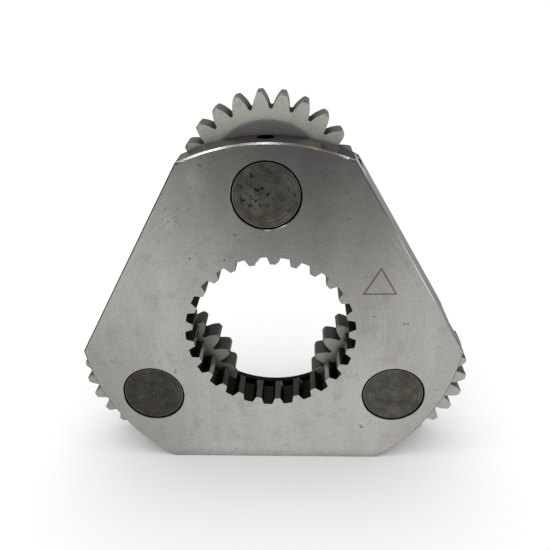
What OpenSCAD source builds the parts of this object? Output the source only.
// Planet carrier assembly of a planetary gear set, standing on one of its three milled flats.
// The gear axis runs along Y. The splined front plate faces -Y and one planet gear is at the top.

/* [Carrier] */
// Distance from the gear axis to each planet pin
pin_circle_r = 68.5; // [68:0.1:69.5]
// Turned outer radius of the front plate
front_plate_r = 91.2; // [90:0.1:92]
// Turned outer radius of the rear plate
rear_plate_r = 86.5; // [86:0.5:88]
// Distance from the gear axis to each of the three milled flats
flat_distance = 74; // [73.9:0.05:75]
// Thickness of the front plate
front_plate_t = 14.5; // [14:0.1:16]
// Thickness of the rear plate
rear_plate_t = 6.3; // [5:0.1:8]
// Radius of the round bore through the rear plate
rear_bore_r = 49; // [47:0.5:50]
// Length of the straight wall of the rear bore
rear_bore_land = 3; // [2:0.1:4]
// Radius of the hollow between the plates, inside the webs
hollow_r = 54; // [53:0.5:56]
// Radial room left round each planet gear between the webs
pocket_gap = 3; // [1.5:0.1:3.5]

/* [Spline] */
// Number of grooves in the splined bore
spline_teeth = 25; // [25]
// Radius to the bottom of the spline grooves
spline_root_r = 40.2; // [39.8:0.1:40.6]
// Radius to the tips of the spline teeth
spline_tip_r = 36.8; // [36.4:0.1:37.2]
// Share of the pitch that a groove takes at its bottom
groove_share_root = 0.43; // [0.38:0.01:0.48]
// Share of the pitch that a groove takes at its mouth
groove_share_tip = 0.71; // [0.66:0.01:0.75]
// Angle of one groove's centre, measured from the right-hand side
spline_turn = 266.7; // [260:0.1:275]

/* [Planet gears] */
// Number of teeth on each planet gear
gear_teeth = 24; // [24]
// Gear module
gear_module = 3; // [3]
// Profile shift, in modules
profile_shift = 0.4; // [0.3:0.01:0.45]
// Height of the teeth above the shifted pitch circle, in modules
addendum = 0.8; // [0.75:0.01:0.82]
// Depth of the teeth below the shifted pitch circle, in modules
dedendum = 1.45; // [1.4:0.01:1.5]
// Pressure angle of the teeth
pressure_angle = 25; // [25]
// Face width of each planet gear
gear_width = 12; // [11:0.1:12.5]
// Chamfer on the tooth tips and round the bore
gear_chamfer = 0.8; // [0.3:0.1:1]
// Angle of one tooth of the top planet gear
gear_turn_1 = 3.7; // [0:0.1:15]
// Angle of one tooth of the lower left planet gear
gear_turn_2 = 5.8; // [0:0.1:15]
// Angle of one tooth of the lower right planet gear
gear_turn_3 = 12.9; // [0:0.1:15]

/* [Pins and bearings] */
// Radius of each planet pin
pin_r = 15.25; // [15.2:0.05:15.3]
// Depth of the pin's front end below the front plate's face
pin_recess = 0.5; // [0.1:0.1:1]
// Chamfer on the ends of the planet pins
pin_chamfer = 0.8; // [0.4:0.1:1]
// Number of needle rollers in each planet gear
roller_count = 16; // [12:1:16]
// Radius of the planet gear's bore, where the rollers run
raceway_r = 19; // [19]
// Outer radius of the thrust washers
washer_r = 28.2; // [26:0.1:29]
// Radius of the hole in the thrust washers
washer_hole_r = 15.6; // [15.5:0.1:16]
// Thickness of the thrust washers
washer_t = 2.5; // [2:0.1:2.5]

/* [Spring pins] */
// Outer radius of the spring pins that lock the planet pins
spring_pin_r = 3.7; // [3.2:0.1:3.8]
// Wall thickness of the spring pins
spring_pin_wall = 1; // [0.8:0.1:1.2]
// Depth of the spring pins' middle behind the front face
spring_pin_station = 9.8; // [9:0.1:10.2]
// Length of the spring pins
spring_pin_length = 15.5; // [14:0.5:16]

/* [Hidden] */
$fn = 96;

steel = [0.66, 0.65, 0.62];
gear_steel = [0.58, 0.57, 0.53];
pin_steel = [0.38, 0.36, 0.34];
dark_steel = [0.30, 0.29, 0.28];
bearing_steel = [0.78, 0.78, 0.77];
eps = 0.01;

// Planets 1, 2 and 3 sit at the top, the lower left and the lower right.
planet_angles = [90, 210, 330];
gear_turns = [gear_turn_1, gear_turn_2, gear_turn_3];
// The flats lie opposite the planets.
flat_angles = [30, 150, 270];

// Stations along the gear axis, measured from the carrier's rear face towards the front.
axial_play = 0.1;
window_depth = gear_width + 2 * washer_t + 2 * axial_play;
carrier_depth = rear_plate_t + window_depth + front_plate_t;
rear_washer_z = rear_plate_t;
gear_z = rear_washer_z + washer_t + axial_play;
front_washer_z = gear_z + gear_width + axial_play;
front_plate_z = rear_plate_t + window_depth;

// Chamfers on the rims of the plates, on the edges of the flats and at the mouths of the pin bores
front_rim_chamfer = 0.8;
front_plate_back_chamfer = 0.6;
rear_rim_chamfer = 1;
rear_plate_inner_chamfer = 0.4;
flat_chamfer = 0.5;
bore_chamfer = 0.25;
slide_gap = 0.02;
pin_bore_r = pin_r + slide_gap;
rear_bore_chamfer = rear_plate_t - rear_bore_land;

// Gear tooth sizes
gear_pitch_r = gear_module * gear_teeth / 2;
gear_base_r = gear_pitch_r * cos(pressure_angle);
gear_tip_r = gear_pitch_r + gear_module * (profile_shift + addendum);
gear_root_r = gear_pitch_r + gear_module * (profile_shift - dedendum);
root_fillet = 0.7;
flank_foot_r = max(gear_base_r, gear_root_r + root_fillet);
flank_steps = 5;
fillet_steps = 3;
pocket_r = gear_tip_r + pocket_gap;

// The rollers run between the planet pin and the gear's bore.
roller_circle_r = (pin_r + raceway_r) / 2;
roller_gap = 0.03;
roller_r = (raceway_r - pin_r) / 2 - roller_gap;
roller_end_room = 1.2;
roller_length = gear_width - 2 * roller_end_room;
cage_wall = 1.6;
cage_end_gap = 0.2;
cage_side_gap = 0.06;

// The spring pin's hole runs from the plate's rim into the planet pin.
spring_hole_r = spring_pin_r + slide_gap;
spring_hole_inset = 3;
spring_hole_floor = pin_circle_r + spring_hole_inset;
spring_pin_end_gap = 0.5;
spring_pin_slot = 1;
spring_sides = 48;
roller_sides = 24;
pin_rear_recess = 1;

// How far a cutting body reaches past the solid that it cuts
over = 1;

// Turns a part drawn with X right, Y up and Z to the viewer so that it stands on its flat.
module stand_up() {
    translate([0, carrier_depth / 2, flat_distance])
        rotate([90, 0, 0])
            children();
}

// Puts a part on the axis of one planet, turned so that its own +X points away from the gear axis.
module at_planet(n) {
    stand_up()
        rotate([0, 0, planet_angles[n - 1]])
            translate([pin_circle_r, 0, 0])
                children();
}

// Round disc of radius r from z0 to z1, with 45 degree chamfers on its rear and front edges.
module turned_disc(r, z0, z1, rear_cut, front_cut) {
    rotate_extrude()
        polygon([
            [0, z0],
            [r - rear_cut, z0],
            [r, z0 + rear_cut],
            [r, z1 - front_cut],
            [r - front_cut, z1],
            [0, z1]
        ]);
}

// Round bore of radius r from z0 to z1, wider at its rear and front mouths.
module turned_bore(r, z0, z1, rear_cut, front_cut) {
    rotate_extrude()
        polygon([
            [0, z0 - eps],
            [r + rear_cut + eps, z0 - eps],
            [r, z0 + rear_cut],
            [r, z1 - front_cut],
            [r + front_cut + eps, z1 + eps],
            [0, z1 + eps]
        ]);
}

// Flat ring from z0 to z1
module ring(outer_r, inner_r, z0, z1) {
    difference() {
        translate([0, 0, z0])
            cylinder(r = outer_r, h = z1 - z0);
        translate([0, 0, z0 - over])
            cylinder(r = inner_r, h = z1 - z0 + 2 * over);
    }
}

// Everything inside the three flats, with the flats' front and rear edges chamfered
module between_flats() {
    reach = 2 * front_plate_r;
    chamfer_side = flat_chamfer * sqrt(2);
    difference() {
        translate([0, 0, -over])
            cylinder(r = front_plate_r + over, h = carrier_depth + 2 * over);
        for (a = flat_angles)
            rotate([0, 0, a]) {
                translate([flat_distance, -reach, -2 * over])
                    cube([reach, 2 * reach, carrier_depth + 4 * over]);
                for (z = [0, carrier_depth])
                    translate([flat_distance, 0, z])
                        rotate([0, 45, 0])
                            cube([chamfer_side, 2 * reach, chamfer_side], center = true);
            }
    }
}

// Cross-section of the splined hole: a disc to the tooth tips, with a groove for each spline tooth
module spline_outline() {
    pitch = 360 / spline_teeth;
    root_half = pitch * groove_share_root / 2;
    tip_half = pitch * groove_share_tip / 2;
    polygon([
        for (i = [0 : spline_teeth - 1])
            for (p = [
                [spline_tip_r, -tip_half],
                [spline_root_r, -root_half],
                [spline_root_r, 0],
                [spline_root_r, root_half],
                [spline_tip_r, tip_half]
            ])
                p[0] * [cos(spline_turn + i * pitch + p[1]), sin(spline_turn + i * pitch + p[1])]
    ]);
}

// Solid between the plates, cut away round each planet gear and inside the webs
module webs() {
    difference() {
        translate([0, 0, rear_plate_t - eps])
            cylinder(r = rear_plate_r, h = window_depth + 2 * eps);
        cylinder(r = hollow_r, h = carrier_depth);
        for (a = planet_angles)
            rotate([0, 0, a])
                translate([pin_circle_r, 0, 0])
                    cylinder(r = pocket_r, h = carrier_depth);
    }
}

module carrier() {
    color(steel)
        stand_up()
            difference() {
                intersection() {
                    union() {
                        turned_disc(
                            front_plate_r, front_plate_z, carrier_depth,
                            front_plate_back_chamfer, front_rim_chamfer
                        );
                        turned_disc(
                            rear_plate_r, 0, rear_plate_t,
                            rear_rim_chamfer, rear_plate_inner_chamfer
                        );
                        webs();
                    }
                    between_flats();
                }
                translate([0, 0, front_plate_z - over])
                    linear_extrude(height = front_plate_t + 2 * over)
                        spline_outline();
                turned_bore(rear_bore_r, 0, rear_plate_t, rear_bore_chamfer, 0);
                for (a = planet_angles)
                    rotate([0, 0, a]) {
                        translate([pin_circle_r, 0, 0])
                            turned_bore(pin_bore_r, 0, carrier_depth, bore_chamfer, bore_chamfer);
                        translate([spring_hole_floor, 0, carrier_depth - spring_pin_station])
                            rotate([0, 90, 0])
                                cylinder(r = spring_hole_r, h = front_plate_r, $fn = spring_sides);
                    }
            }
}

// Angle by which an involute has turned at radius r, in degrees
function involute(r) = let (a = acos(min(1, gear_base_r / r))) tan(a) * 180 / PI - a;

// Half of a tooth's width at radius r, as an angle
function tooth_half(r) =
    90 / gear_teeth
    + 2 * profile_shift * tan(pressure_angle) / gear_teeth * 180 / PI
    + involute(gear_pitch_r)
    - involute(r);

// One side of a tooth as [radius, half angle] pairs, from the root fillet up to the tip
function tooth_side() = concat(
    [
        for (i = [0 : fillet_steps - 1])
            let (a = 90 - 90 * i / fillet_steps)
                [
                    gear_root_r + root_fillet * (1 - sin(a)),
                    tooth_half(flank_foot_r) + root_fillet * (1 - cos(a)) / gear_root_r * 180 / PI
                ]
    ],
    [
        for (i = [0 : flank_steps])
            let (r = flank_foot_r + (gear_tip_r - flank_foot_r) * i / flank_steps)
                [r, tooth_half(r)]
    ]
);

module gear_outline() {
    side = tooth_side();
    last = len(side) - 1;
    pitch = 360 / gear_teeth;
    polygon([
        for (k = [0 : gear_teeth - 1])
            for (j = [0 : 2 * last + 1])
                let (
                    p = j <= last ? side[j] : side[2 * last + 1 - j],
                    a = k * pitch + (j <= last ? -p[1] : p[1])
                )
                    p[0] * [cos(a), sin(a)]
    ]);
}

module planet_gear(n) {
    color(gear_steel)
        at_planet(n)
            rotate([0, 0, gear_turns[n - 1] - planet_angles[n - 1]])
                difference() {
                    intersection() {
                        translate([0, 0, gear_z])
                            linear_extrude(height = gear_width)
                                gear_outline();
                        turned_disc(
                            gear_tip_r + eps, gear_z, gear_z + gear_width, gear_chamfer, gear_chamfer
                        );
                    }
                    turned_bore(raceway_r, gear_z, gear_z + gear_width, gear_chamfer, gear_chamfer);
                }
}

module planet_pin(n) {
    color(pin_steel)
        at_planet(n)
            difference() {
                turned_disc(pin_r, pin_rear_recess, carrier_depth - pin_recess, pin_chamfer, pin_chamfer);
                translate([spring_hole_inset, 0, carrier_depth - spring_pin_station])
                    rotate([0, 90, 0])
                        cylinder(r = spring_hole_r, h = 2 * pin_r, $fn = spring_sides);
            }
}

// Cage that keeps the needle rollers apart, with one pocket for each roller
module needle_cage(n) {
    z0 = gear_z + cage_end_gap;
    z1 = gear_z + gear_width - cage_end_gap;
    color(dark_steel)
        at_planet(n)
            difference() {
                ring(roller_circle_r + cage_wall / 2, roller_circle_r - cage_wall / 2, z0, z1);
                for (i = [0 : roller_count - 1])
                    rotate([0, 0, i * 360 / roller_count])
                        translate([roller_circle_r, 0, (z0 + z1) / 2])
                            cube([
                                2 * cage_wall,
                                2 * (roller_r + cage_side_gap),
                                roller_length + 2 * cage_side_gap
                            ], center = true);
            }
}

module needle_rollers(n) {
    middle = gear_z + gear_width / 2;
    color(bearing_steel)
        at_planet(n)
            for (i = [0 : roller_count - 1])
                rotate([0, 0, i * 360 / roller_count])
                    translate([roller_circle_r, 0, middle - roller_length / 2])
                        cylinder(r = roller_r, h = roller_length, $fn = roller_sides);
}

module front_washer(n) {
    color(dark_steel)
        at_planet(n)
            ring(washer_r, washer_hole_r, front_washer_z, front_washer_z + washer_t);
}

module rear_washer(n) {
    color(dark_steel)
        at_planet(n)
            ring(washer_r, washer_hole_r, rear_washer_z, rear_washer_z + washer_t);
}

// Rolled spring pin, slotted along its length, lying along the planet's radius
module spring_pin(n) {
    start = spring_hole_inset + spring_pin_end_gap;
    color(dark_steel)
        at_planet(n)
            translate([start, 0, carrier_depth - spring_pin_station])
                rotate([0, 90, 0])
                    difference() {
                        cylinder(r = spring_pin_r, h = spring_pin_length, $fn = spring_sides);
                        translate([0, 0, -over])
                            cylinder(
                                r = spring_pin_r - spring_pin_wall, h = spring_pin_length + 2 * over,
                                $fn = spring_sides
                            );
                        translate([0, -spring_pin_slot / 2, -over])
                            cube([2 * spring_pin_r, spring_pin_slot, spring_pin_length + 2 * over]);
                    }
}

carrier();
planet_gear(1);  // planet_gear_1
planet_gear(2);  // planet_gear_2
planet_gear(3);  // planet_gear_3
planet_pin(1);  // planet_pin_1
planet_pin(2);  // planet_pin_2
planet_pin(3);  // planet_pin_3
needle_cage(1);  // needle_cage_1
needle_cage(2);  // needle_cage_2
needle_cage(3);  // needle_cage_3
needle_rollers(1);  // needle_rollers_1
needle_rollers(2);  // needle_rollers_2
needle_rollers(3);  // needle_rollers_3
front_washer(1);  // front_washer_1
front_washer(2);  // front_washer_2
front_washer(3);  // front_washer_3
rear_washer(1);  // rear_washer_1
rear_washer(2);  // rear_washer_2
rear_washer(3);  // rear_washer_3
spring_pin(1);  // spring_pin_1
spring_pin(2);  // spring_pin_2
spring_pin(3);  // spring_pin_3
